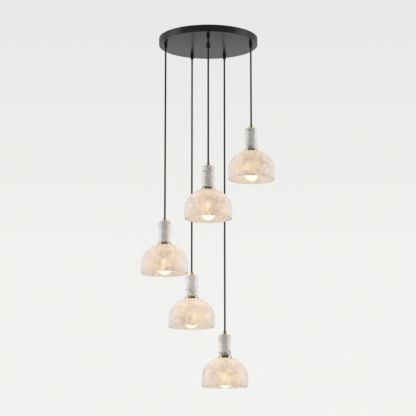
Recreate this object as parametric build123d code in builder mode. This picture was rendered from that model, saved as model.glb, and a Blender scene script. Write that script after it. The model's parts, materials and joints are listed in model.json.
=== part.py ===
"""Cluster pendant light: five alabaster domes hung on cords from one round ceiling canopy.

The ceiling is the plane z = 0, with the canopy's centre at the origin, and everything hangs below it.
Sizes are in millimetres. Each pendant is made once, standing on its shade's rim, and then hung five times.
"""

import os
from math import pi, sqrt

from build123d import *

os.makedirs("parts", exist_ok=True)

# Canopy: a spun steel pan, open at the top
canopy_radius = 215.0
canopy_height = 30.0
canopy_wall = 1.5
canopy_edge_round = 2.0

# Where the cords leave the canopy: inset from its edge, and bearing from +X
side_inset = 26.0
side_bearing = -12.0
front_inset = 33.0
back_inset = 55.0
back_bearing = 63.3

# Depth of each shade's rim below the ceiling, highest pendant first
rim_depth_1 = 636.0
rim_depth_2 = 832.0
rim_depth_3 = 1042.0
rim_depth_4 = 1250.0
rim_depth_5 = 1507.0

# Cord, and the swing's pivot just inside the mouth of its grip
cord_radius = 3.5
cord_clearance = 0.3
pivot_inside_grip = 2.0
cord_break = 0.2

# Cord grip: a tapered gland with a threaded shank and a lock nut
grip_radius = 7.5
grip_tip_radius = 6.3
grip_length = 22.0
grip_straight = 8.0
grip_flare = 0.8
shank_radius = 5.0
shank_end = 1.0
thread_clearance = 0.1
grip_nut_flats = 14.0
grip_nut_height = 4.0

# Ceiling bracket: a hat-shaped crossbar
bracket_length = 130.0
bracket_width = 24.0
bracket_thickness = 2.0
bracket_drop = 9.0
bracket_saddle = 44.0
bracket_ramp = 8.0
slot_spacing = 90.0
slot_length = 26.0
slot_width = 5.0

# Centre nipple, its lock nuts, and the finial nut that holds the canopy up
nipple_radius = 5.0
nipple_end = 1.0
nipple_nut_flats = 17.0
nipple_nut_height = 5.0
nipple_in_finial = 8.5
finial_radius = 9.0
finial_height = 13.0
finial_round = 1.0

# Earth screw in the bracket
earth_screw_radius = 2.0
earth_head_radius = 4.0
earth_head_height = 2.4
earth_screw_offset = 16.0

# Terminal block on the canopy's floor, and the cord tails that run to it
block_length = 72.0
block_depth = 22.0
block_height = 15.0
block_offset = 62.0
block_round = 1.5
pole_count = 5
pole_screw_radius = 2.2
pole_screw_depth = 4.0
tail_height = 11.5
tail_bend = 6.0
tail_sweep = 30.0
tail_run_in = 30.0
nipple_bypass = 21.0

# Alabaster shade: a straight skirt, an elliptical dome and a flat ground on top for the flange
shade_radius = 100.0
shade_skirt = 43.0
dome_height = 78.5
dome_land_radius = 38.5
shade_wall = 8.0
shade_rim_round = 2.0
shade_hole_clearance = 0.75

# Brass flange: a disc, with a short neck under the marble
flange_radius = 29.5
flange_thickness = 7.7
flange_neck = 1.3
flange_edge = 0.8
flange_recess = 4.5

# Marble sleeve
marble_radius = 26.7
marble_height = 93.0
marble_foot_round = 11.0
marble_top_round = 3.0

# Brass ferrule and the hollow stem that draws the stack together
ferrule_radius = 7.75
ferrule_height = 16.5
ferrule_chamfer = 1.2
ferrule_cord_seat = 12.0
cord_fit = 0.1
wire_bore_radius = 2.2
stem_radius = 5.0
stem_clearance = 0.3
stem_engagement = 10.0
stem_end_gap = 0.5

# Lampholder with a threaded skirt, and the ring that clamps the shade to it
holder_radius = 19.75
holder_height = 50.0
holder_edge = 1.0
holder_floor_depth = 23.0
holder_mouth_depth = 3.0
holder_fit = 0.1
ring_radius = 28.0
ring_flange = 3.0
ring_collar_radius = 24.0
ring_height = 8.0
ring_notches = 8
ring_notch_radius = 2.5

# Bulb: a pear-shaped globe in a screw cap
bulb_length = 107.5
globe_radius = 30.0
bulb_neck_radius = 13.5
bulb_waist_radius = 40.0
glass_wall = 1.2
cap_radius = 13.1
cap_length = 25.0
cap_thread = 18.0
cap_cone_radius = 6.5
cap_contact_radius = 5.0
cap_contact = 1.5
bulb_clearance = 0.3
neck_clearance = 1.0

# Heights in one pendant, above its shade's rim
land_z = shade_skirt + dome_height
ring_z = land_z - shade_wall
marble_z = land_z + flange_thickness + flange_neck
ferrule_z = marble_z + marble_height
holder_z = land_z + flange_recess
bulb_z = holder_z - holder_floor_depth - bulb_clearance
cord_end_z = ferrule_z + ferrule_height - ferrule_cord_seat
stem_length = ferrule_z - holder_z + stem_engagement

# Heights in the canopy, below the ceiling
floor_z = canopy_wall - canopy_height
mouth_z = -canopy_height - grip_length
pivot_z = mouth_z + pivot_inside_grip
tail_z = floor_z + tail_height
grip_bore = cord_radius + cord_clearance


def on_canopy(inset, bearing):
    """Point on the canopy, by its inset from the edge and its bearing."""
    reach = Vector(canopy_radius - inset, 0, 0)
    return reach.rotate(Axis.Z, bearing)


cord_places = (
    on_canopy(side_inset, side_bearing),
    on_canopy(front_inset, -90),
    on_canopy(side_inset, 180 - side_bearing),
    on_canopy(back_inset, 180 - back_bearing),
    on_canopy(back_inset, back_bearing),
)


def write(piece, name):
    """Label a finished piece and write it."""
    piece.label = name
    export_step(piece, f"parts/{name}.step")


def hang(piece, name, place):
    """Write a copy of a piece, moved to its place."""
    write(piece.moved(Location(place)), name)


# Canopy shell: the pan, with a hole for each grip and one for the nipple
with BuildPart() as canopy_shell:
    Cylinder(canopy_radius, canopy_height, align=(Align.CENTER, Align.CENTER, Align.MAX))
    fillet(canopy_shell.edges().filter_by(GeomType.CIRCLE).sort_by(Axis.Z)[0], canopy_edge_round)
    offset(amount=-canopy_wall, openings=canopy_shell.faces().sort_by(Axis.Z)[-1])
    with Locations((0, 0, 0)):
        Hole(nipple_radius + thread_clearance)
    with Locations(*cord_places):
        Hole(shank_radius + thread_clearance)
write(canopy_shell.part, "canopy_shell")

# Ceiling bracket: feet against the ceiling, and a saddle that drops to leave room for the upper nut
saddle_x = bracket_saddle / 2
ramp_x = saddle_x + bracket_ramp
foot_x = bracket_length / 2
upper_line = [(-foot_x, 0), (-ramp_x, 0), (-saddle_x, -bracket_drop)]
upper_line += [(-x, z) for x, z in reversed(upper_line)]
lower_line = [(x, z - bracket_thickness) for x, z in reversed(upper_line)]
with BuildPart() as ceiling_bracket:
    with BuildSketch(Plane.XZ):
        with BuildLine():
            Polyline(*upper_line, *lower_line, close=True)
        make_face()
    extrude(amount=bracket_width / 2, both=True)
    with BuildSketch(Plane.XY):
        with GridLocations(slot_spacing, 0, 2, 1):
            SlotOverall(slot_length, slot_width)
    extrude(amount=-bracket_thickness, mode=Mode.SUBTRACT)
    with Locations((0, 0, 0)):
        Hole(nipple_radius + thread_clearance)
    with Locations((earth_screw_offset, 0, 0)):
        Hole(earth_screw_radius + thread_clearance)
write(ceiling_bracket.part, "ceiling_bracket")

# Centre nipple: from above the upper nut down into the finial
saddle_z = -bracket_drop - bracket_thickness
nipple_top = -bracket_drop + nipple_nut_height + nipple_end
nipple_length = nipple_top + canopy_height + nipple_in_finial
with BuildPart() as centre_nipple:
    with BuildSketch(Plane.XY.offset(nipple_top)):
        Circle(nipple_radius)
        Circle(nipple_radius / 2, mode=Mode.SUBTRACT)
    extrude(amount=-nipple_length)
write(centre_nipple.part, "centre_nipple")

# Lock nuts above and below the bracket's saddle
with BuildPart() as nipple_nuts:
    with BuildSketch(Plane.XY.offset(-bracket_drop), Plane.XY.offset(saddle_z - nipple_nut_height)):
        RegularPolygon(nipple_nut_flats / 2, 6, major_radius=False)
        Circle(nipple_radius + thread_clearance, mode=Mode.SUBTRACT)
    extrude(amount=nipple_nut_height)
write(nipple_nuts.part, "nipple_nuts")

# Finial nut: a flat knob with a blind bore, against the canopy's underside
with BuildPart() as finial_nut:
    with BuildSketch(Plane.XY.offset(-canopy_height)):
        Circle(finial_radius)
    extrude(amount=-finial_height)
    fillet(finial_nut.edges().filter_by(GeomType.CIRCLE).sort_by(Axis.Z)[0], finial_round)
    with BuildSketch(Plane.XY.offset(-canopy_height)):
        Circle(nipple_radius + thread_clearance)
    extrude(amount=-nipple_in_finial - stem_end_gap, mode=Mode.SUBTRACT)
write(finial_nut.part, "finial_nut")

# Earth screw: a cheese head under the saddle
with BuildPart() as earth_screw:
    with BuildSketch(Plane.XY.offset(saddle_z)):
        with Locations((earth_screw_offset, 0)):
            Circle(earth_head_radius)
    extrude(amount=-earth_head_height)
    with BuildSketch(Plane.XY.offset(saddle_z)):
        with Locations((earth_screw_offset, 0)):
            Circle(earth_screw_radius)
    extrude(amount=bracket_thickness)
write(earth_screw.part, "earth_screw")

# Terminal block: one moulding with a screw well for each pole
with BuildPart() as terminal_block:
    with BuildSketch(Plane((0, block_offset, floor_z))):
        RectangleRounded(block_length, block_depth, block_round)
    extrude(amount=block_height)
    with BuildSketch(Plane((0, block_offset, floor_z + block_height))):
        with GridLocations(block_length / pole_count, block_depth / 2, pole_count, 2):
            Circle(pole_screw_radius)
    extrude(amount=-pole_screw_depth, mode=Mode.SUBTRACT)
write(terminal_block.part, "terminal_block")

# Cord tails: up out of each grip, over to the terminal block and square into its face
block_end = block_length / 2
block_front = block_offset - block_depth / 2
block_back = block_offset + block_depth / 2
pole_pitch = block_length / pole_count
tail_ends = (
    ((block_end + tail_run_in, block_offset), (block_end, block_offset)),
    ((-nipple_bypass, -tail_run_in), (-nipple_bypass, block_front)),
    ((-block_end - tail_run_in, block_offset), (-block_end, block_offset)),
    ((-pole_pitch, block_back + tail_run_in), (-pole_pitch, block_back)),
    ((pole_pitch, block_back + tail_run_in), (pole_pitch, block_back)),
)
tail_start_z = pivot_z + cord_radius + cord_break
tail_lengths = []
with BuildPart() as cord_tails:
    for place, run_in in zip(cord_places, tail_ends):
        route = [(place.X, place.Y, tail_start_z), (place.X, place.Y, tail_z)]
        route += [(x, y, tail_z) for x, y in run_in]
        with BuildLine() as tail_path:
            FilletPolyline(*route, radius=[tail_bend, tail_sweep])
        with BuildSketch(Plane(route[0])):
            Circle(cord_radius)
        sweep(path=tail_path.wires()[0])
        tail_lengths.append(tail_path.wires()[0].length)
tail_share = cord_tails.part.volume / (pi * cord_radius**2 * sum(tail_lengths))
print("cord tails, lengths in mm:", [round(length, 1) for length in tail_lengths])
print(f"cord tails, bends {tail_bend} and {tail_sweep} mm, volume {tail_share:.4f} of section times length")
write(cord_tails.part, "cord_tails")

# Cord grip, standing on the canopy's underside: bullet-shaped gland below, threaded shank above
shank_z = canopy_wall + grip_nut_height + shank_end
with BuildPart() as cord_grip:
    with BuildSketch(Plane.XZ):
        with BuildLine():
            bullet = TangentArc(
                (grip_radius, -grip_straight), (grip_tip_radius, -grip_length), tangent=(0, -1)
            )
            Polyline(
                bullet @ 1,
                (grip_bore + grip_flare, -grip_length),
                (grip_bore, -grip_length + grip_flare),
                (grip_bore, shank_z),
                (shank_radius, shank_z),
                (shank_radius, 0),
                (grip_radius, 0),
                bullet @ 0,
            )
        make_face()
    revolve(axis=Axis.Z)

# Grip lock nuts on the canopy's floor
with BuildPart() as grip_nuts:
    with BuildSketch(Plane.XY.offset(floor_z)):
        with Locations(*[(place.X, place.Y) for place in cord_places]):
            RegularPolygon(grip_nut_flats / 2, 6, major_radius=False)
            Circle(shank_radius + thread_clearance, mode=Mode.SUBTRACT)
    extrude(amount=grip_nut_height)
write(grip_nuts.part, "grip_nuts")


def turned_bell(radius, rise, top):
    """Solid bell turned about Z: straight skirt, quarter-ellipse dome, cut flat at the top."""
    with BuildPart() as bell:
        with BuildSketch(Plane.XZ):
            with BuildLine():
                dome = EllipticalCenterArc((0, shade_skirt), radius, rise, arc_size=90)
                Polyline(dome @ 1, (0, 0), (radius, 0), dome @ 0)
            make_face()
            Rectangle(radius, top, align=(Align.MIN, Align.MIN), mode=Mode.INTERSECT)
        revolve(axis=Axis.Z)
    return bell.part


# Alabaster shade: the bell, hollowed to an even wall, with a hole for the lampholder
dome_rise = dome_height / sqrt(1 - (dome_land_radius / shade_radius) ** 2)
with BuildPart() as shade:
    add(turned_bell(shade_radius, dome_rise, land_z))
    add(turned_bell(shade_radius - shade_wall, dome_rise - shade_wall, ring_z), mode=Mode.SUBTRACT)
    with Locations((0, 0, land_z)):
        Hole(holder_radius + shade_hole_clearance)
    fillet(shade.edges().group_by(Axis.Z)[0], shade_rim_round)

# Brass flange, standing on the shade's land: its neck is as wide as the flat of the marble's foot
neck_radius = marble_radius - marble_foot_round
with BuildPart() as brass_flange:
    Cylinder(flange_radius, flange_thickness, align=(Align.CENTER, Align.CENTER, Align.MIN))
    chamfer(brass_flange.edges().filter_by(GeomType.CIRCLE), flange_edge)
    with BuildSketch(Plane.XY.offset(flange_thickness)):
        Circle(neck_radius)
    extrude(amount=flange_neck)
    with BuildSketch(Plane.XY):
        Circle(holder_radius + holder_fit)
    extrude(amount=flange_recess, mode=Mode.SUBTRACT)
    with Locations((0, 0, 0)):
        Hole(stem_radius + stem_clearance)

# Marble sleeve, standing on the flange's neck
with BuildPart() as marble_sleeve:
    Cylinder(marble_radius, marble_height, align=(Align.CENTER, Align.CENTER, Align.MIN))
    rims = marble_sleeve.edges().filter_by(GeomType.CIRCLE).sort_by(Axis.Z)
    fillet(rims[0], marble_foot_round)
    fillet(rims[-1], marble_top_round)
    with Locations((0, 0, 0)):
        Hole(stem_radius + stem_clearance)

# Cord ferrule, standing on the marble, with its stem below
cord_bore = cord_radius + cord_fit
seat_z = ferrule_height - ferrule_cord_seat
with BuildPart() as cord_ferrule:
    with BuildSketch(Plane.XZ):
        with BuildLine():
            Polyline(
                (wire_bore_radius, -stem_length),
                (stem_radius, -stem_length),
                (stem_radius, 0),
                (ferrule_radius, 0),
                (ferrule_radius, ferrule_height - ferrule_chamfer),
                (ferrule_radius - ferrule_chamfer, ferrule_height),
                (cord_bore, ferrule_height),
                (cord_bore, seat_z),
                (wire_bore_radius, seat_z),
                close=True,
            )
        make_face()
    revolve(axis=Axis.Z)

# Lampholder, hanging from the recess in the flange: blind bore for the stem above, screw socket below
stem_bore = stem_radius + thread_clearance
stem_floor = -stem_engagement - stem_end_gap
socket_radius = cap_radius + bulb_clearance
mouth_radius = bulb_neck_radius + neck_clearance
with BuildPart() as lampholder:
    with BuildSketch(Plane.XZ):
        with BuildLine():
            Polyline(
                (0, stem_floor),
                (stem_bore, stem_floor),
                (stem_bore, 0),
                (holder_radius - holder_edge, 0),
                (holder_radius, -holder_edge),
                (holder_radius, -holder_height),
                (mouth_radius, -holder_height),
                (mouth_radius, -holder_height + holder_mouth_depth),
                (socket_radius, -holder_height + holder_mouth_depth),
                (socket_radius, -holder_floor_depth),
                (0, -holder_floor_depth),
                close=True,
            )
        make_face()
    revolve(axis=Axis.Z)

# Shade ring, against the underside of the land: a flange, and a notched collar to turn it by
with BuildPart() as shade_ring:
    with BuildSketch(Plane.XY):
        Circle(ring_radius)
    extrude(amount=-ring_flange)
    with BuildSketch(Plane.XY.offset(-ring_flange)):
        Circle(ring_collar_radius)
        with PolarLocations(ring_collar_radius, ring_notches):
            Circle(ring_notch_radius, mode=Mode.SUBTRACT)
    extrude(amount=ring_flange - ring_height)
    with Locations((0, 0, 0)):
        Hole(holder_radius + thread_clearance)


def turned_bulb(inset):
    """Solid bulb turned about Z, drawn in by an inset: a ball, a hollow waist and a straight neck."""
    globe_centre = Vector(0, globe_radius - bulb_length)
    waist_reach = bulb_neck_radius + bulb_waist_radius
    waist_rise = sqrt((globe_radius + bulb_waist_radius) ** 2 - waist_reach**2)
    waist_centre = globe_centre + Vector(waist_reach, waist_rise)
    ball_radius = globe_radius - inset
    neck_radius = bulb_neck_radius - inset
    shoulder = globe_centre + (waist_centre - globe_centre).normalized() * ball_radius
    with BuildPart() as bulb:
        with BuildSketch(Plane.XZ):
            with BuildLine():
                ball = TangentArc(globe_centre - Vector(0, ball_radius), shoulder, tangent=(1, 0))
                waist = TangentArc(shoulder, (neck_radius, waist_centre.Y), tangent=ball % 1)
                Polyline(waist @ 1, (neck_radius, -cap_length), (0, -cap_length), ball @ 0)
            make_face()
        revolve(axis=Axis.Z)
    return bulb.part


# Bulb globe, hanging below the cap's contact: thin glass, open at the neck where the cap closes it
with BuildPart() as bulb_globe:
    add(turned_bulb(0))
    add(turned_bulb(glass_wall), mode=Mode.SUBTRACT)

# Bulb cap: screw shell, insulating cone and end contact
with BuildPart() as bulb_cap:
    with BuildSketch(Plane.XZ):
        with BuildLine():
            Polyline(
                (0, -cap_length),
                (cap_radius, -cap_length),
                (cap_radius, cap_thread - cap_length),
                (cap_cone_radius, -cap_contact),
                (cap_contact_radius, -cap_contact),
                (cap_contact_radius, 0),
                (0, 0),
                close=True,
            )
        make_face()
    revolve(axis=Axis.Z)


def hanging_cord(top, bottom):
    """Straight cord whose upper end is a ball about the swing's pivot."""
    with BuildPart() as cord:
        with BuildSketch(Plane(top)):
            Circle(cord_radius)
        extrude(amount=bottom.Z - top.Z)
        with Locations(top):
            Sphere(cord_radius)
    return cord.part


# The five pendants, highest first
rim_depths = (rim_depth_1, rim_depth_2, rim_depth_3, rim_depth_4, rim_depth_5)
pendant_pieces = (
    ("shade", shade, 0),
    ("brass_flange", brass_flange, land_z),
    ("marble_sleeve", marble_sleeve, marble_z),
    ("cord_ferrule", cord_ferrule, ferrule_z),
    ("lampholder", lampholder, holder_z),
    ("shade_ring", shade_ring, ring_z),
    ("bulb_globe", bulb_globe, bulb_z),
    ("bulb_cap", bulb_cap, bulb_z),
)
for number, (place, depth) in enumerate(zip(cord_places, rim_depths), start=1):
    rim = place - Vector(0, 0, depth)
    pivot = place + Vector(0, 0, pivot_z)
    hang(cord_grip.part, f"cord_grip_{number}", place - Vector(0, 0, canopy_height))
    write(hanging_cord(pivot, rim + Vector(0, 0, cord_end_z)), f"cord_{number}")
    for name, piece, height in pendant_pieces:
        hang(piece.part, f"{name}_{number}", rim + Vector(0, 0, height))
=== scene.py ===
"""Five alabaster domes on cords under one round canopy: their looks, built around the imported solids.

Sizes are in metres. The ceiling is the plane z = 0, and the light hangs below it.
"""

import json
from math import asin, cos, hypot, pi, radians, sin, sqrt

import bmesh
import bpy
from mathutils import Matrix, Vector


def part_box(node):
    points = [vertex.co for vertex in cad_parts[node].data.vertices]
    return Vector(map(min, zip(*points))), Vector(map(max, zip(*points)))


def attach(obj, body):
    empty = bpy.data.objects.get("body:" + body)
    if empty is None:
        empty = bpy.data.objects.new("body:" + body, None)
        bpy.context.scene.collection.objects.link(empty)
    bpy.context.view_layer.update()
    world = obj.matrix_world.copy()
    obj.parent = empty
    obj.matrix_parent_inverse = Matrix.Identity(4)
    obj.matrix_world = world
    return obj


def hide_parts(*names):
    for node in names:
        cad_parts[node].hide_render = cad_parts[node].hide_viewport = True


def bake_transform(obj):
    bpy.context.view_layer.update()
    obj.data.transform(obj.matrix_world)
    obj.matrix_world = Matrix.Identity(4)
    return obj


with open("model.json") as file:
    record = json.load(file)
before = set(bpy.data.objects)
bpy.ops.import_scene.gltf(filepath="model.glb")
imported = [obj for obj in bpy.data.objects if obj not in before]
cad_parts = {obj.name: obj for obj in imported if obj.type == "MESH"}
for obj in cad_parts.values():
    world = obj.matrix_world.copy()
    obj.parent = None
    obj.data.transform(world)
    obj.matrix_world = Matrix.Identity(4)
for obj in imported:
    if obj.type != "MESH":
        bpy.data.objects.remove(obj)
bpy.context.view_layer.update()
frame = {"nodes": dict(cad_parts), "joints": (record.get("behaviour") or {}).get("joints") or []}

# Canopy: a shallow steel pan, spun on a former and trimmed at the ceiling edge.
# It is powder coated satin black, smooth enough to mirror the grips that hang under it.
canopy_radius = 0.215
canopy_height = 0.030
canopy_wall = 0.0015
canopy_edge_round = 0.002
canopy_hole = 0.0051
canopy_steps = 192
coat_black = (0.030, 0.030, 0.029, 1)
coat_worn = (0.038, 0.0375, 0.0365, 1)
coat_grain = 1800
coat_roughness = 0.16
weld = 1e-7
slack = 1e-5
sharp_ring = radians(25)
crease = radians(32)


class Wire:
    """A shader socket. Sums on wires add Math nodes, and node() adds any node to the same tree."""

    def __init__(self, tree, socket):
        self.tree = tree
        self.socket = socket

    def node(self, kind, settings=None, sockets=None, out=0):
        made = self.tree.nodes.new("ShaderNode" + kind)
        for name, value in (settings or {}).items():
            setattr(made, name, value)
        for name, value in (sockets or {}).items():
            if isinstance(value, Wire):
                self.tree.links.new(value.socket, made.inputs[name])
            else:
                made.inputs[name].default_value = value
        return Wire(self.tree, made.outputs[out])

    def maths(self, operation, first, second):
        return self.node("Math", {"operation": operation}, {0: first, 1: second})

    def __add__(self, other):
        return self.maths("ADD", self, other)

    __radd__ = __add__

    def __sub__(self, other):
        return self.maths("SUBTRACT", self, other)

    def __rsub__(self, other):
        return self.maths("SUBTRACT", other, self)

    def __mul__(self, other):
        return self.maths("MULTIPLY", self, other)

    __rmul__ = __mul__

    def __abs__(self):
        return self.maths("ABSOLUTE", self, 0)

    def between(self, low, high):
        """0 below low, 1 above high and an even slope between them, smoothed at both ends."""
        return self.node(
            "MapRange",
            {"interpolation_type": "SMOOTHSTEP"},
            {"Value": self, "From Min": low, "From Max": high},
        )

    def noise(self, scale, detail=2, roughness=0.5, out="Fac"):
        """Cloudy noise read at this place."""
        return self.node(
            "TexNoise",
            sockets={"Vector": self, "Scale": scale, "Detail": detail, "Roughness": roughness},
            out=out,
        )

    def moved_by(self, noise, reach):
        """This place, pushed about by a noise colour."""
        centred = self.node("VectorMath", {"operation": "SUBTRACT"}, {0: noise, 1: (0.5, 0.5, 0.5)})
        push = self.node("VectorMath", {"operation": "SCALE"}, {0: centred, "Scale": reach})
        return self.node("VectorMath", {"operation": "ADD"}, {0: self, 1: push})

    def mix(self, low, high):
        """The colour low where this is 0, and high where it is 1."""
        return self.node("Mix", {"data_type": "RGBA"}, {"Factor": self, 6: low, 7: high}, out=2)

    def bump(self, distance, strength):
        """A normal that follows this height."""
        return self.node("Bump", sockets={"Height": self, "Distance": distance, "Strength": strength})


def new_finish(name, levels):
    """A new material with fixed levels on its surface shader, and the place on the piece as a wire."""
    material = bpy.data.materials.new(name)
    material.use_nodes = True
    tree = material.node_tree
    for socket, level in levels.items():
        tree.nodes["Principled BSDF"].inputs[socket].default_value = level
    place = Wire(tree, tree.nodes.new("ShaderNodeTexCoord").outputs["Object"])
    return material, place


def feed(material, wires):
    """Link wires to the surface shader."""
    tree = material.node_tree
    for socket, wire in wires.items():
        tree.links.new(wire.socket, tree.nodes["Principled BSDF"].inputs[socket])


def turned(section, steps, closed=True):
    """A shape turned about Z from its half section, a line of (radius, height) points."""
    shape = bmesh.new()
    line = [shape.verts.new((radius, 0, height)) for radius, height in section]
    ends = line[1:] + line[:1] if closed else line[1:]
    sides = [shape.edges.new(pair) for pair in zip(line, ends)]
    bmesh.ops.spin(
        shape, geom=line + sides, cent=(0, 0, 0), axis=(0, 0, 1), angle=2 * pi, steps=steps, use_merge=True
    )
    bmesh.ops.remove_doubles(shape, verts=shape.verts, dist=weld)
    bmesh.ops.recalc_face_normals(shape, faces=shape.faces)
    return shape


def round_rings(shape, radius, low, high, size, segments):
    """Round the sharp rings of a turned shape that lie at one radius, between two heights."""
    rings = [
        edge
        for edge in shape.edges
        if edge.is_manifold
        and edge.calc_face_angle() > sharp_ring
        and all(abs(hypot(vert.co.x, vert.co.y) - radius) < slack for vert in edge.verts)
        and all(low - slack < vert.co.z < high + slack for vert in edge.verts)
    ]
    bmesh.ops.bevel(
        shape, geom=rings, offset=size, segments=segments, profile=0.5, affect="EDGES", material=-1
    )


def new_piece(shape, name, place, finish, body, slot, *nodes):
    """Stand a shape at its place as a piece of the light, in place of the CAD nodes that it shows."""
    bmesh.ops.translate(shape, verts=shape.verts, vec=place)
    mesh = bpy.data.meshes.new(name)
    shape.to_mesh(mesh)
    shape.free()
    mesh.shade_smooth()
    mesh.set_sharp_from_angle(angle=crease)
    mesh.materials.append(finish)
    piece = bpy.data.objects.new(name, mesh)
    bpy.context.scene.collection.objects.link(piece)
    if body:
        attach(piece, body)
    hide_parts(*nodes)
    return piece


def black_coat(name, black, worn, roughness):
    """A black coat with a fine grain and faint handling marks."""
    material, place = new_finish(name, {"IOR": 1.34})
    marks = place.noise(9, detail=4, roughness=0.6)
    grain = place.noise(coat_grain, detail=1)
    feed(
        material,
        {
            "Base Color": marks.between(0.35, 0.75).mix(black, worn),
            "Roughness": roughness + 0.08 * marks + 0.05 * grain,
            "Normal": grain.bump(0.00003, 0.4),
        },
    )
    return material


satin_black = black_coat("satin_black", coat_black, coat_worn, coat_roughness)
pan = turned(
    [
        (canopy_hole, -canopy_height),
        (canopy_radius, -canopy_height),
        (canopy_radius, 0),
        (canopy_radius - canopy_wall, 0),
        (canopy_radius - canopy_wall, canopy_wall - canopy_height),
        (canopy_hole, canopy_wall - canopy_height),
    ],
    canopy_steps,
)
round_rings(pan, canopy_radius, -canopy_height, -canopy_height, canopy_edge_round, segments=5)
new_piece(pan, "spun_canopy", (0, 0, 0), satin_black, "canopy", "canopy_black", "canopy_shell")

# Ceiling bracket, nipple, lock nuts and earth screw: pressed and turned steel, zinc plated.
# They hide in the canopy: the bracket is screwed to the ceiling and the nipple holds the pan up to it.
zinc_pale = (0.60, 0.61, 0.62, 1)
zinc_dull = (0.42, 0.43, 0.43, 1)
zinc, place = new_finish("zinc_plate", {"Metallic": 1.0})
spangle = place.noise(160, detail=3, roughness=0.6)
scuffs = place.noise(35, detail=5, roughness=0.65)
feed(
    zinc,
    {
        "Base Color": spangle.between(0.35, 0.7).mix(zinc_dull, zinc_pale),
        "Roughness": 0.30 + 0.25 * scuffs,
        "Normal": spangle.bump(0.00004, 0.3),
    },
)


def dress(node, finish):
    """Put a finish on a CAD node that shows as it is."""
    finishes = frame["nodes"][node].data.materials
    finishes.clear()
    finishes.append(finish)


for name in ("ceiling_bracket", "centre_nipple", "nipple_nuts", "grip_nuts", "earth_screw"):
    dress(name, zinc)

# Terminal block: one white nylon moulding on the canopy's floor, with a well over each of its screws.
# The five cord tails meet the ceiling's supply wires in it.
nylon_white = (0.78, 0.77, 0.73, 1)
nylon_shade = (0.66, 0.65, 0.61, 1)
nylon_depth = (0.004, 0.004, 0.003)
nylon, place = new_finish("white_nylon", {"Subsurface Weight": 0.1, "Subsurface Radius": nylon_depth})
flow = place.noise(45, detail=3)
feed(
    nylon,
    {
        "Base Color": flow.between(0.3, 0.7).mix(nylon_shade, nylon_white),
        "Roughness": 0.42 + 0.12 * flow,
        "Normal": place.noise(2600, detail=1).bump(0.00002, 0.3),
    },
)
dress("terminal_block", nylon)

# Cord grips: moulded black glands that taper to the cord, one through each hole in the pan.
# A nut inside the pan holds each one, and its mouth is flared so that the cord can swing.
grip_radius = 0.0075
grip_tip_radius = 0.0063
grip_length = 0.022
grip_straight = 0.008
grip_bore = 0.0038
grip_flare = 0.0008
shank_radius = 0.005
shank_top = 0.0065
grip_edge = 0.0005
grip_steps = 48
taper_points = 8
nylon_black = (0.006, 0.006, 0.006, 1)
nylon_rubbed = (0.011, 0.011, 0.0105, 1)
nylon_roughness = 0.34
taper = grip_length - grip_straight
draw_in = grip_radius - grip_tip_radius
taper_arc = (draw_in**2 + taper**2) / (2 * draw_in)
taper_turn = asin(taper / taper_arc)
bullet = []
for i in range(taper_points + 1):
    turn = taper_turn * i / taper_points
    bullet.append((grip_radius - taper_arc * (1 - cos(turn)), -grip_straight - taper_arc * sin(turn)))
grip_section = bullet + [
    (grip_bore + grip_flare, -grip_length),
    (grip_bore, grip_flare - grip_length),
    (grip_bore, shank_top),
    (shank_radius, shank_top),
    (shank_radius, 0),
    (grip_radius, 0),
]
grip_black = black_coat("grip_black", nylon_black, nylon_rubbed, nylon_roughness)
pivots = {}
for joint in frame["joints"]:
    if joint["name"].startswith("swing_"):
        pivots[int(joint["name"][-1])] = Vector(joint["pos_m"])
for number, pivot in pivots.items():
    gland = turned(grip_section, grip_steps)
    round_rings(gland, grip_radius, 0, 0, grip_edge, segments=2)
    place = (pivot.x, pivot.y, -canopy_height)
    new_piece(gland, f"black_grip_{number}", place, grip_black, "canopy", "grip_black", f"cord_grip_{number}")

# Finial: the flat black knob in the middle of the underside.
# It screws up on the nipple and holds the canopy against the ceiling.
finial_radius = 0.009
finial_height = 0.013
finial_round = 0.001
finial_edge = 0.0005
finial_bore = 0.0051
finial_bore_depth = 0.009
finial_steps = 48
knob = turned(
    [
        (0, -finial_height),
        (finial_radius, -finial_height),
        (finial_radius, 0),
        (finial_bore, 0),
        (finial_bore, -finial_bore_depth),
        (0, -finial_bore_depth),
    ],
    finial_steps,
    closed=False,
)
round_rings(knob, finial_radius, -finial_height, -finial_height, finial_round, segments=4)
round_rings(knob, finial_radius, 0, 0, finial_edge, segments=2)
new_piece(
    knob, "black_finial", (0, 0, -canopy_height), satin_black, "canopy", "canopy_black", "finial_nut"
)

# Hanging cords: round three-core flex in a coarse black braid, from each grip's mouth to its ferrule.
# Six strands wind each way over the core, passing over and under each other as they cross.
cord_radius = 0.0035
braid_strands = 6
braid_pitch = 0.0042
braid_relief = 0.0004
braid_proud = 0.0001
cord_sides = 24
rings_per_crossing = 5
yarn_black = (0.005, 0.005, 0.005, 1)
yarn_crest_painted_light = (0.014, 0.0135, 0.013, 1)
ferrule_top = 0.240
cord_seat = 0.012


def route_line(points):
    """Points along the smooth line of a cord's route."""
    curve = bpy.data.curves.new("route", "CURVE")
    curve.dimensions = "3D"
    spline = curve.splines.new("NURBS")
    spline.points.add(len(points) - 1)
    for knot, point in zip(spline.points, points):
        knot.co = (*point, 1)
    spline.order_u = min(3, len(points))
    spline.use_endpoint_u = True
    carrier = bpy.data.objects.new("route", curve)
    line = bpy.data.meshes.new_from_object(carrier)
    found = [vert.co.copy() for vert in line.vertices]
    bpy.data.objects.remove(carrier)
    bpy.data.curves.remove(curve)
    bpy.data.meshes.remove(line)
    return found


def braid_height(around, along):
    """Height of the braid's surface, 0 to 1: two sets of strands cross, and take turns to lie on top."""
    right = (around + along) * braid_strands
    left = (around - along) * braid_strands
    on_top = right if (int(right // 1) + int(left // 1)) % 2 else left
    return sin(pi * (on_top % 1))


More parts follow.
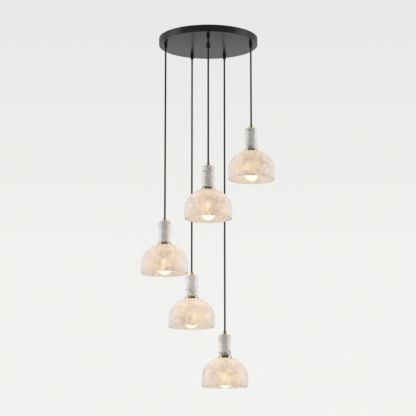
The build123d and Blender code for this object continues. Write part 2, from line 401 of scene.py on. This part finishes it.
def braided_tube(line):
    """A braided cord along a line of points, closed at both ends, with its crest kept as an attribute."""
    runs = [(b - a).length for a, b in zip(line, line[1:])]
    length = sum(runs)
    rings = round(length / braid_pitch * rings_per_crossing)
    shape = bmesh.new()
    crest = shape.verts.layers.float.new("crest")
    bmesh.ops.create_grid(shape, x_segments=cord_sides, y_segments=rings, size=0.5)
    side = Vector((1, 0, 0))
    frames = []
    run = 0
    passed = 0.0
    for i in range(rings + 1):
        reach = length * i / rings
        while run < len(runs) - 1 and passed + runs[run] < reach:
            passed += runs[run]
            run += 1
        ahead = (line[run + 1] - line[run]).normalized()
        centre = line[run] + ahead * (reach - passed)
        side = (side - ahead * side.dot(ahead)).normalized()
        frames.append((centre, side, ahead.cross(side), reach))
    for vert in shape.verts:
        around = vert.co.x + 0.5
        centre, side, up, reach = frames[round((vert.co.y + 0.5) * rings)]
        vert[crest] = braid_height(around, reach / (braid_pitch * braid_strands))
        radius = cord_radius + braid_proud - braid_relief * (1 - vert[crest])
        turn = 2 * pi * around
        vert.co = centre + (side * cos(turn) + up * sin(turn)) * radius
    bmesh.ops.remove_doubles(shape, verts=shape.verts, dist=weld)
    ends = [edge for edge in shape.edges if edge.is_boundary]
    bmesh.ops.holes_fill(shape, edges=ends)
    bmesh.ops.recalc_face_normals(shape, faces=shape.faces)
    return shape


# The braid's crests are coloured lighter than the valleys between strands: painted shade in the valleys.
braid, place = new_finish("black_braid", {"Specular IOR Level": 0.15})
crest = place.node("Attribute", {"attribute_name": "crest"}, out="Fac")
fibre = place.noise(2200, detail=2)
feed(
    braid,
    {
        "Base Color": (crest * (0.6 + 0.5 * fibre)).mix(yarn_black, yarn_crest_painted_light),
        "Roughness": 0.85 - 0.15 * fibre,
        "Normal": fibre.bump(0.00008, 0.5),
    },
)
rims = {number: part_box(f"shade_{number}")[0].z for number in pivots}
for number, pivot in pivots.items():
    foot = Vector((pivot.x, pivot.y, rims[number] + ferrule_top - cord_seat))
    cord = new_piece(
        braided_tube(route_line([pivot, foot])),
        f"braided_cord_{number}",
        (0, 0, 0),
        braid,
        None,
        "cord_black",
        f"cord_{number}",
    )
    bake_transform(cord)

# Cord tails: the same flex inside the canopy, from the top of each grip to the terminal block.
# Each one turns over inside its grip's nut, crosses the pan and runs square into the block's face.
tail_top = -0.017
tail_start = -0.0463
block_end = 0.036
block_middle = 0.062
block_front = 0.051
block_back = 0.073
pole_pitch = 0.0144
run_in = 0.030
nipple_bypass = 0.021
corner_hold = 0.008
tail_ends = {
    1: ((block_end + run_in, block_middle), (block_end, block_middle)),
    2: ((-nipple_bypass, -run_in), (-nipple_bypass, block_front)),
    3: ((-block_end - run_in, block_middle), (-block_end, block_middle)),
    4: ((-pole_pitch, block_back + run_in), (-pole_pitch, block_back)),
    5: ((pole_pitch, block_back + run_in), (pole_pitch, block_back)),
}
tails = bmesh.new()
for number, (turn_in, end) in tail_ends.items():
    pivot = pivots[number]
    corner = Vector((pivot.x, pivot.y, tail_top))
    turn_in = Vector((*turn_in, tail_top))
    end = Vector((*end, tail_top))
    level = (turn_in - corner).normalized()
    route = [
        Vector((pivot.x, pivot.y, tail_start)),
        corner - Vector((0, 0, corner_hold)),
        corner,
        corner + level * corner_hold,
        turn_in - level * run_in,
        turn_in,
        end,
    ]
    tail = braided_tube(route_line(route))
    mesh = bpy.data.meshes.new("tail")
    tail.to_mesh(mesh)
    tail.free()
    tails.from_mesh(mesh)
    bpy.data.meshes.remove(mesh)
new_piece(tails, "braided_tails", (0, 0, 0), braid, "canopy", "cord_black", "cord_tails")

# Ferrules: small turned brass heads that grip the end of each cord.
# Each has a hollow stem that runs down through the marble and screws into the lampholder.
ferrule_radius = 0.00775
ferrule_foot = 0.2235
ferrule_chamfer = 0.0012
cord_bore = 0.0036
wire_bore = 0.0022
stem_radius = 0.005
stem_foot = 0.116
ferrule_groove = 0.0003
groove_height = 0.0018
ferrule_steps = 64
brass_bright = (0.88, 0.67, 0.36, 1)
brass_dull = (0.74, 0.53, 0.26, 1)
brass, place = new_finish("turned_brass", {"Metallic": 1.0})
height = place.node("SeparateXYZ", sockets={0: place}, out="Z")
lathe_place = place.node("CombineXYZ", sockets={"Z": height})
lathe = lathe_place.noise(5200, detail=2)
tarnish = place.noise(70, detail=4, roughness=0.6)
feed(
    brass,
    {
        "Base Color": tarnish.between(0.3, 0.7).mix(brass_dull, brass_bright),
        "Roughness": 0.08 + 0.06 * lathe + 0.05 * tarnish,
        "Normal": lathe.bump(0.00002, 0.15),
    },
)


def hang(number, shape, name, finish, slot, node, body="pendant"):
    """Stand a shape, measured up from the rim, in one pendant as a numbered piece."""
    rim = (pivots[number].x, pivots[number].y, rims[number])
    new_piece(shape, f"{name}_{number}", rim, finish, f"{body}_{number}", slot, f"{node}_{number}")


groove_top = ferrule_foot + 2 * groove_height
for number in pivots:
    head = turned(
        [
            (wire_bore, stem_foot),
            (stem_radius, stem_foot),
            (stem_radius, ferrule_foot),
            (ferrule_radius, ferrule_foot),
            (ferrule_radius, ferrule_foot + groove_height),
            (ferrule_radius - ferrule_groove, ferrule_foot + groove_height + ferrule_groove),
            (ferrule_radius - ferrule_groove, groove_top - ferrule_groove),
            (ferrule_radius, groove_top),
            (ferrule_radius, ferrule_top - ferrule_chamfer),
            (ferrule_radius - ferrule_chamfer, ferrule_top),
            (cord_bore, ferrule_top),
            (cord_bore, ferrule_top - cord_seat),
            (wire_bore, ferrule_top - cord_seat),
        ],
        ferrule_steps,
    )
    hang(number, head, "turned_ferrule", brass, "brass", "cord_ferrule")

# Marble sleeves: cylinders of grey-white marble, drilled through, with a well rounded foot.
# The stem draws each one down on the flange. Grey veins run across it on a slant.
marble_radius = 0.0267
marble_foot = 0.1305
marble_foot_round = 0.011
marble_top_round = 0.003
marble_bore = 0.0053
marble_steps = 72
marble_white = (0.90, 0.895, 0.88, 1)
marble_grey = (0.77, 0.765, 0.755, 1)
vein_grey = (0.33, 0.325, 0.32, 1)
vein_tilt = (radians(-18), radians(41), 0)
vein_stretch = (2.6, 2.6, 0.6)
marble, place = new_finish("veined_marble", {"IOR": 1.5, "Coat Weight": 0.6, "Coat Roughness": 0.12})
stirred = place.moved_by(place.noise(16, detail=2, out="Color"), 0.02)
laid = stirred.node(
    "Mapping",
    {"vector_type": "TEXTURE"},
    {"Vector": stirred, "Rotation": vein_tilt, "Scale": vein_stretch},
)
clouds = stirred.noise(24, detail=5, roughness=0.6)
bold = 1 - abs(laid.noise(12, detail=2, roughness=0.5) - 0.5)
fine = 1 - abs(laid.noise(34, detail=2, roughness=0.5) - 0.5)
patches = place.noise(20, detail=2)
veins = bold.between(0.975, 1.0) * patches.between(0.44, 0.58) + 0.3 * fine.between(0.97, 1.0)
feed(
    marble,
    {
        "Base Color": veins.mix(clouds.between(0.35, 0.68).mix(marble_white, marble_grey), vein_grey),
        "Roughness": 0.34 + 0.12 * clouds,
        "Normal": clouds.bump(0.0001, 0.1),
    },
)
for number in pivots:
    sleeve = turned(
        [
            (marble_bore, marble_foot),
            (marble_radius, marble_foot),
            (marble_radius, ferrule_foot),
            (marble_bore, ferrule_foot),
        ],
        marble_steps,
    )
    round_rings(sleeve, marble_radius, marble_foot, marble_foot, marble_foot_round, segments=10)
    round_rings(sleeve, marble_radius, ferrule_foot, ferrule_foot, marble_top_round, segments=6)
    hang(number, sleeve, "veined_sleeve", marble, "marble", "marble_sleeve")

# Flanges: turned brass discs between marble and alabaster, with a short neck under the marble.
# The lampholder seats in a recess underneath.
flange_radius = 0.0295
flange_foot = 0.1215
flange_top = 0.1292
flange_edge = 0.0008
flange_recess_radius = 0.01985
flange_recess = 0.0045
flange_steps = 96
for number in pivots:
    disc = turned(
        [
            (flange_recess_radius, flange_foot),
            (flange_radius, flange_foot),
            (flange_radius, flange_top),
            (marble_radius - marble_foot_round, flange_top),
            (marble_radius - marble_foot_round, marble_foot),
            (marble_bore, marble_foot),
            (marble_bore, flange_foot + flange_recess),
            (flange_recess_radius, flange_foot + flange_recess),
        ],
        flange_steps,
    )
    round_rings(disc, flange_radius, flange_foot, flange_top, flange_edge, segments=3)
    hang(number, disc, "turned_flange", brass, "brass", "brass_flange")

# Shades: bells of translucent alabaster, turned and hollowed to an even wall, then polished.
# The bulb shows through their cloudy cream bands where clear, the rest of the glow is painted emission, and
# the ring clamps each one to its flange.
shade_radius = 0.100
shade_skirt = 0.043
dome_height = 0.0785
land_radius = 0.0385
shade_wall = 0.008
shade_hole = 0.0205
rim_round = 0.002
shade_steps = 112
dome_points = 20
dome_rise = dome_height / sqrt(1 - (land_radius / shade_radius) ** 2)
land = shade_skirt + dome_height
stone_milk = (0.11, 0.145, 0.21, 1)
stone_pink = (0.105, 0.125, 0.175, 1)
stone_brown = (0.065, 0.065, 0.07, 1)
stone_sheen = (0.79, 0.885, 1.0, 1)
stone_clear = (0.95, 0.88, 0.75, 1)
stone_blur = 0.6
stone_bend = 1.3
# Glow colours and levels for emission painted on the stone, in place of the bulb's light coming through it.
glow_cream = (0.84, 0.612, 0.384, 1)
glow_milk = (0.97, 0.785, 0.62, 1)
glow_tan = (0.485, 0.327, 0.198, 1)
glow_inside = (1.0, 0.80, 0.625, 1)
glow_level = 1.69
rim_glow = 0.613
skirt_glow = 0.114
crown_glow = 0.64
unlit = (0, 0, 0, 1)


def dome_line(radius, rise, top):
    """Points up a dome from the skirt to a flat top, on a quarter ellipse."""
    reach = asin((top - shade_skirt) / rise)
    turns = [reach * i / dome_points for i in range(dome_points + 1)]
    return [(radius * cos(turn), shade_skirt + rise * sin(turn)) for turn in turns]


def mix_surface(wire, share, shader):
    """Let another shader take this share of a material's surface."""
    surface = Wire(wire.tree, wire.tree.nodes["Principled BSDF"].outputs[0])
    mixed = wire.node("MixShader", sockets={0: share, 1: surface, 2: shader})
    wire.tree.links.new(mixed.socket, wire.tree.nodes["Material Output"].inputs["Surface"])


def alabaster(number, centre):
    """Alabaster with a painted glow in place of light from inside, clear to the bulb but where clouds, wisps
    and threads cross it.
    """
    material, whole = new_finish(
        f"lit_alabaster_{number}",
        {
            "IOR": 1.52,
            "Emission Strength": glow_level,
            "Sheen Weight": 1.0,
            "Sheen Roughness": 1.0,
            "Sheen Tint": stone_sheen,
        },
    )
    from_rim = whole.node("Mapping", {"vector_type": "POINT"}, {"Vector": whole, "Location": -centre})
    height = whole.node("SeparateXYZ", sockets={0: from_rim}, out="Z")
    stirred = whole.moved_by(whole.noise(8, detail=2, out="Color"), 0.10)
    swirled = stirred.moved_by(stirred.noise(30, detail=2, out="Color"), 0.02)
    haze = swirled.noise(13, detail=5, roughness=0.6).between(0.36, 0.66)
    milk = swirled.noise(36, detail=3).between(0.46, 0.62)
    mottle = swirled.noise(54, detail=5, roughness=0.65).between(0.42, 0.60)
    ridge = 1 - abs(swirled.noise(17, detail=4, roughness=0.55) - 0.5)
    wisps = ridge.between(0.91, 1.0) * stirred.noise(11, detail=2).between(0.40, 0.58)
    threads = 1 - abs(swirled.noise(50, detail=3, roughness=0.55) - 0.5)
    fine = threads.between(0.93, 1.0) * stirred.noise(19, detail=1).between(0.46, 0.62)
    body_colour = wisps.mix(haze.mix(stone_milk, stone_pink), stone_brown)
    # The inner walls take a glow colour of their own: painted light for the bulb shining straight on them.
    inside = whole.node("Attribute", {"attribute_name": "inside"}, out="Fac")
    clear = inside.mix(milk.mix(glow_cream, glow_milk), glow_inside)
    cloud = haze * 0.12 + mottle * 0.42 + wisps * 0.38 + fine * 0.52
    glow = cloud.mix(clear, glow_tan)
    # The painted glow is dimmest at the rim and grows brighter up the skirt and towards the crown.
    lit = rim_glow + skirt_glow * height.between(0.0, 0.035) + crown_glow * height.between(0.07, 0.125)
    feed(
        material,
        {
            "Base Color": body_colour,
            "Roughness": 0.30 + 0.12 * haze,
            "Emission Color": lit.mix(unlit, glow),
            "Normal": wisps.bump(0.0002, 0.12),
        },
    )
    passing = whole.node(
        "BsdfRefraction", sockets={"Color": stone_clear, "Roughness": stone_blur, "IOR": stone_bend}
    )
    mix_surface(whole, 0.59 - 0.70 * cloud - 0.3 * fine, passing)
    return material


outer = dome_line(shade_radius, dome_rise, land)
inner = dome_line(shade_radius - shade_wall, dome_rise - shade_wall, land - shade_wall)
bell_section = [(shade_radius, 0)] + outer
bell_section += [(shade_hole, land), (shade_hole, land - shade_wall)]
bell_section += inner[::-1] + [(shade_radius - shade_wall, 0)]
for number, pivot in pivots.items():
    bell = turned(bell_section, shade_steps)
    round_rings(bell, shade_radius, 0, 0, rim_round, segments=4)
    round_rings(bell, shade_radius - shade_wall, 0, 0, rim_round, segments=4)
    inside = bell.verts.layers.float.new("inside")
    for vert in bell.verts:
        reach = hypot(vert.co.x, vert.co.y) / (shade_radius - shade_wall / 2)
        rise = max(0, vert.co.z - shade_skirt) / (dome_rise - shade_wall / 2)
        vert[inside] = float(hypot(reach, rise) < 1)
    stone = alabaster(number, Vector((pivot.x, pivot.y, rims[number])))
    hang(number, bell, "alabaster_bell", stone, "alabaster", "shade")

# Lampholders and shade rings: black phenolic mouldings inside each bell.
# The holder's skirt is threaded, and the notched ring screws up on it to clamp the stone.
holder_radius = 0.01975
holder_top = 0.126
holder_foot = 0.076
holder_edge = 0.001
holder_floor = 0.103
stem_bore = 0.0051
stem_floor = 0.1155
socket_radius = 0.0134
mouth_radius = 0.0145
mouth_top = 0.079
thread_low = 0.0805
thread_pitch = 0.002
thread_turns = 15
thread_depth = 0.0006
holder_steps = 64
ring_radius = 0.028
ring_top = 0.1135
ring_flange = 0.003
ring_collar_radius = 0.024
ring_foot = 0.1055
ring_bore = 0.01985
ring_notches = 8
notch_depth = 0.0025
ring_edge = 0.0004
ring_steps = 128
phenolic_black = (0.018, 0.017, 0.016, 1)
phenolic_brown = (0.030, 0.025, 0.021, 1)
phenolic, place = new_finish("black_phenolic", {"IOR": 1.6})
mottle = place.noise(120, detail=4, roughness=0.6)
feed(
    phenolic,
    {
        "Base Color": mottle.between(0.4, 0.75).mix(phenolic_black, phenolic_brown),
        "Roughness": 0.38 + 0.16 * mottle,
        "Normal": mottle.bump(0.00004, 0.2),
    },
)
thread = []
for i in range(thread_turns):
    root = thread_low + i * thread_pitch
    thread += [(holder_radius, root), (holder_radius - thread_depth, root + thread_pitch / 2)]
holder_section = [
    (0, stem_floor),
    (stem_bore, stem_floor),
    (stem_bore, holder_top),
    (holder_radius - holder_edge, holder_top),
    (holder_radius, holder_top - holder_edge),
    (holder_radius, thread_low + thread_turns * thread_pitch),
]
holder_section += thread[::-1] + [
    (holder_radius, holder_foot),
    (mouth_radius, holder_foot),
    (mouth_radius, mouth_top),
    (socket_radius, mouth_top),
    (socket_radius, holder_floor),
    (0, holder_floor),
]
notch_spacing = 2 * pi / ring_notches
notch_reach = notch_depth / ring_collar_radius
for number in pivots:
    holder = turned(holder_section, holder_steps, closed=False)
    hang(number, holder, "threaded_holder", phenolic, "holder_black", "lampholder")
    ring = turned(
        [
            (ring_bore, ring_top),
            (ring_radius, ring_top),
            (ring_radius, ring_top - ring_flange),
            (ring_collar_radius, ring_top - ring_flange),
            (ring_collar_radius, ring_foot),
            (ring_bore, ring_foot),
        ],
        ring_steps,
    )
    for vert in ring.verts:
        flat = Vector((vert.co.x, vert.co.y))
        if abs(flat.length - ring_collar_radius) < slack:
            turn = flat.angle_signed(Vector((1, 0)))
            offset = (turn + notch_spacing / 2) % notch_spacing - notch_spacing / 2
            share = min(1, abs(offset) / notch_reach)
            flat *= 1 - notch_depth * sqrt(1 - share**2) / ring_collar_radius
            vert.co.x, vert.co.y = flat
    round_rings(ring, ring_radius, ring_top - ring_flange, ring_top, ring_edge, segments=2)
    hang(number, ring, "notched_ring", phenolic, "holder_black", "shade_ring")

# Bulbs: opal glass globes, blown in one with a drawn-in neck, in a nickel plated screw cap.
# They are lit, most brightly above the tip, which hangs just below the shade's rim.
globe_radius = 0.030
globe_foot = -0.0048
bulb_neck_radius = 0.0135
bulb_waist_radius = 0.040
bulb_neck_top = 0.0777
bulb_steps = 64
arc_points = 14
opal_lit = (1.0, 0.88, 0.69, 1)
opal_warm = (1.0, 0.81, 0.58, 1)
opal_tip = (0.487, 0.487, 0.424, 1)
opal_thick = (0.20, 0.195, 0.18, 1)
opal_thin = (0.26, 0.255, 0.24, 1)
opal_level = 1.7
tip_height = 0.013
bright_height = 0.028
nickel_bright = (0.66, 0.63, 0.58, 1)
nickel_dull = (0.48, 0.46, 0.42, 1)
opal, place = new_finish("lit_opal", {"Emission Strength": opal_level, "Roughness": 0.2})
height = place.node("Attribute", {"attribute_name": "height"}, out="Fac")
lit = place.noise(30, detail=2).between(0.3, 0.7).mix(opal_lit, opal_warm)
feed(
    opal,
    {
        "Base Color": place.noise(40, detail=3).mix(opal_thick, opal_thin),
        "Emission Color": height.between(tip_height, bright_height).mix(opal_tip, lit),
    },
)
nickel, place = new_finish("nickel_plate", {"Metallic": 1.0})
rubbed = place.noise(140, detail=4, roughness=0.6)
feed(
    nickel,
    {
        "Base Color": rubbed.between(0.35, 0.7).mix(nickel_dull, nickel_bright),
        "Roughness": 0.22 + 0.22 * rubbed,
    },
)
globe_middle = globe_foot + globe_radius
waist_reach = bulb_neck_radius + bulb_waist_radius
waist_rise = sqrt((globe_radius + bulb_waist_radius) ** 2 - waist_reach**2)
shoulder_turn = asin(waist_rise / (globe_radius + bulb_waist_radius))
bulb_section = []
for i in range(arc_points * 2 + 1):
    turn = -pi / 2 + (pi / 2 + shoulder_turn) * i / (arc_points * 2)
    bulb_section.append((globe_radius * cos(turn), globe_middle + globe_radius * sin(turn)))
for i in range(1, arc_points + 1):
    turn = shoulder_turn * (1 - i / arc_points)
    reach = waist_reach - bulb_waist_radius * cos(turn)
    bulb_section.append((reach, globe_middle + waist_rise - bulb_waist_radius * sin(turn)))
bulb_section += [(bulb_neck_radius, bulb_neck_top), (0, bulb_neck_top)]
bulb_section[0] = (0, globe_foot)
for number in pivots:
    globe = turned(bulb_section, bulb_steps, closed=False)
    height = globe.verts.layers.float.new("height")
    for vert in globe.verts:
        vert[height] = vert.co.z
    hang(number, globe, "opal_globe", opal, "lit_glass", "bulb_globe", body="bulb")
    dress(f"bulb_cap_{number}", nickel)

# Studio: a pale floor far below, as in a stairwell, and a pale backdrop that darkens to the front.
# Two tall softboxes stand at the sides, so stone and brass are bright at both edges.
floor_depth = -5.0
floor_size = 60.0
floor_pale = (0.80, 0.79, 0.775, 1)
floor_trowelled = (0.82, 0.81, 0.80, 1)
backdrop_low = (0.893, 0.889, 0.872, 1)
backdrop_high = (0.774, 0.774, 0.759, 1)
front_level = 0.10
back_level = 0.455
fill_level = 0.30
side_fill = 3.6
floor_glow = 1.17
floor_seen = 0.75
floor_mirrored = 0.41
softbox_power = 23
softbox_width = 1.7
softbox_height = 3.0
softbox_reach = 2.9
softbox_forward = -0.4
softbox_middle = -0.65
plane = bmesh.new()
bmesh.ops.create_grid(plane, x_segments=8, y_segments=8, size=floor_size / 2)
bmesh.ops.translate(plane, verts=plane.verts, vec=(0, 0, floor_depth))
floor_mesh = bpy.data.meshes.new("floor")
plane.to_mesh(floor_mesh)
plane.free()
floor = bpy.data.objects.new("floor", floor_mesh)
bpy.context.scene.collection.objects.link(floor)
plaster, place = new_finish("pale_floor", {"Roughness": 0.8})
trowel = place.noise(1.5, detail=3)
feed(plaster, {"Base Color": trowel.mix(floor_pale, floor_trowelled)})
floor_mesh.materials.append(plaster)


def seen_rays(wire):
    """Two wires: 1 on rays straight from the camera, and 1 on rays off metal or through stone."""
    camera_ray = wire.node("LightPath", out="Is Camera Ray")
    glossy_ray = wire.node("LightPath", out="Is Glossy Ray")
    clear_ray = wire.node("LightPath", out="Is Transmission Ray")
    return camera_ray, wire.maths("MAXIMUM", glossy_ray, clear_ray) * (1 - camera_ray)


glow = place.node("Emission", sockets={"Color": backdrop_low, "Strength": floor_glow})
straight, relayed = seen_rays(place)
mix_surface(place, straight * floor_seen + relayed * floor_mirrored, glow)

world = bpy.data.worlds.new("studio")
bpy.context.scene.world = world
world.use_nodes = True
tree = world.node_tree
way = Wire(tree, tree.nodes.new("ShaderNodeTexCoord").outputs["Generated"])
rise = way.node("SeparateXYZ", sockets={0: way}, out="Z")
depth = way.node("SeparateXYZ", sockets={0: way}, out="Y")
straight, relayed = seen_rays(way)
across = abs(way.node("SeparateXYZ", sockets={0: way}, out="X"))
sideways = (0.94 * across + 0.34 * depth).between(0.65, 1.0)
backdrop = rise.between(0.08, 0.42).mix(backdrop_low, backdrop_high)
mirrored = front_level + (back_level - front_level) * depth.between(-0.55, 0.15)
level = straight + relayed * mirrored + (1 - straight - relayed) * (fill_level + side_fill * sideways)
background = tree.nodes["Background"]
tree.links.new(backdrop.socket, background.inputs["Color"])
tree.links.new(level.socket, background.inputs["Strength"])

for name, side in (("left", -1), ("right", 1)):
    lamp = bpy.data.lights.new(f"{name}_softbox", "AREA")
    lamp.shape = "RECTANGLE"
    lamp.size = softbox_width
    lamp.size_y = softbox_height
    lamp.energy = softbox_power
    stand = bpy.data.objects.new(f"{name}_softbox", lamp)
    stand.location = (side * softbox_reach, softbox_forward, softbox_middle)
    aim = Vector((0, 0, softbox_middle)) - stand.location
    stand.rotation_euler = aim.to_track_quat("-Z", "Y").to_euler()
    bpy.context.scene.collection.objects.link(stand)

# Camera: a long lens from just under the lowest shade, tilted up, as the photo was taken.
# Its place and lens follow from the ellipses that the canopy and the rims make in the photo's frame.
camera_place = (-0.001, -6.729, -1.986)
camera_tilt = radians(10.39)
focal_pixels = 1594
frame_pixels = 416
sensor = 36.0
view = bpy.data.cameras.new("camera")
view.sensor_width = sensor
view.lens = focal_pixels / frame_pixels * sensor
camera = bpy.data.objects.new("camera", view)
camera.location = camera_place
camera.rotation_euler = (pi / 2 + camera_tilt, 0, 0)
bpy.context.scene.collection.objects.link(camera)
bpy.context.scene.camera = camera
bpy.context.scene.view_settings.view_transform = "Standard"
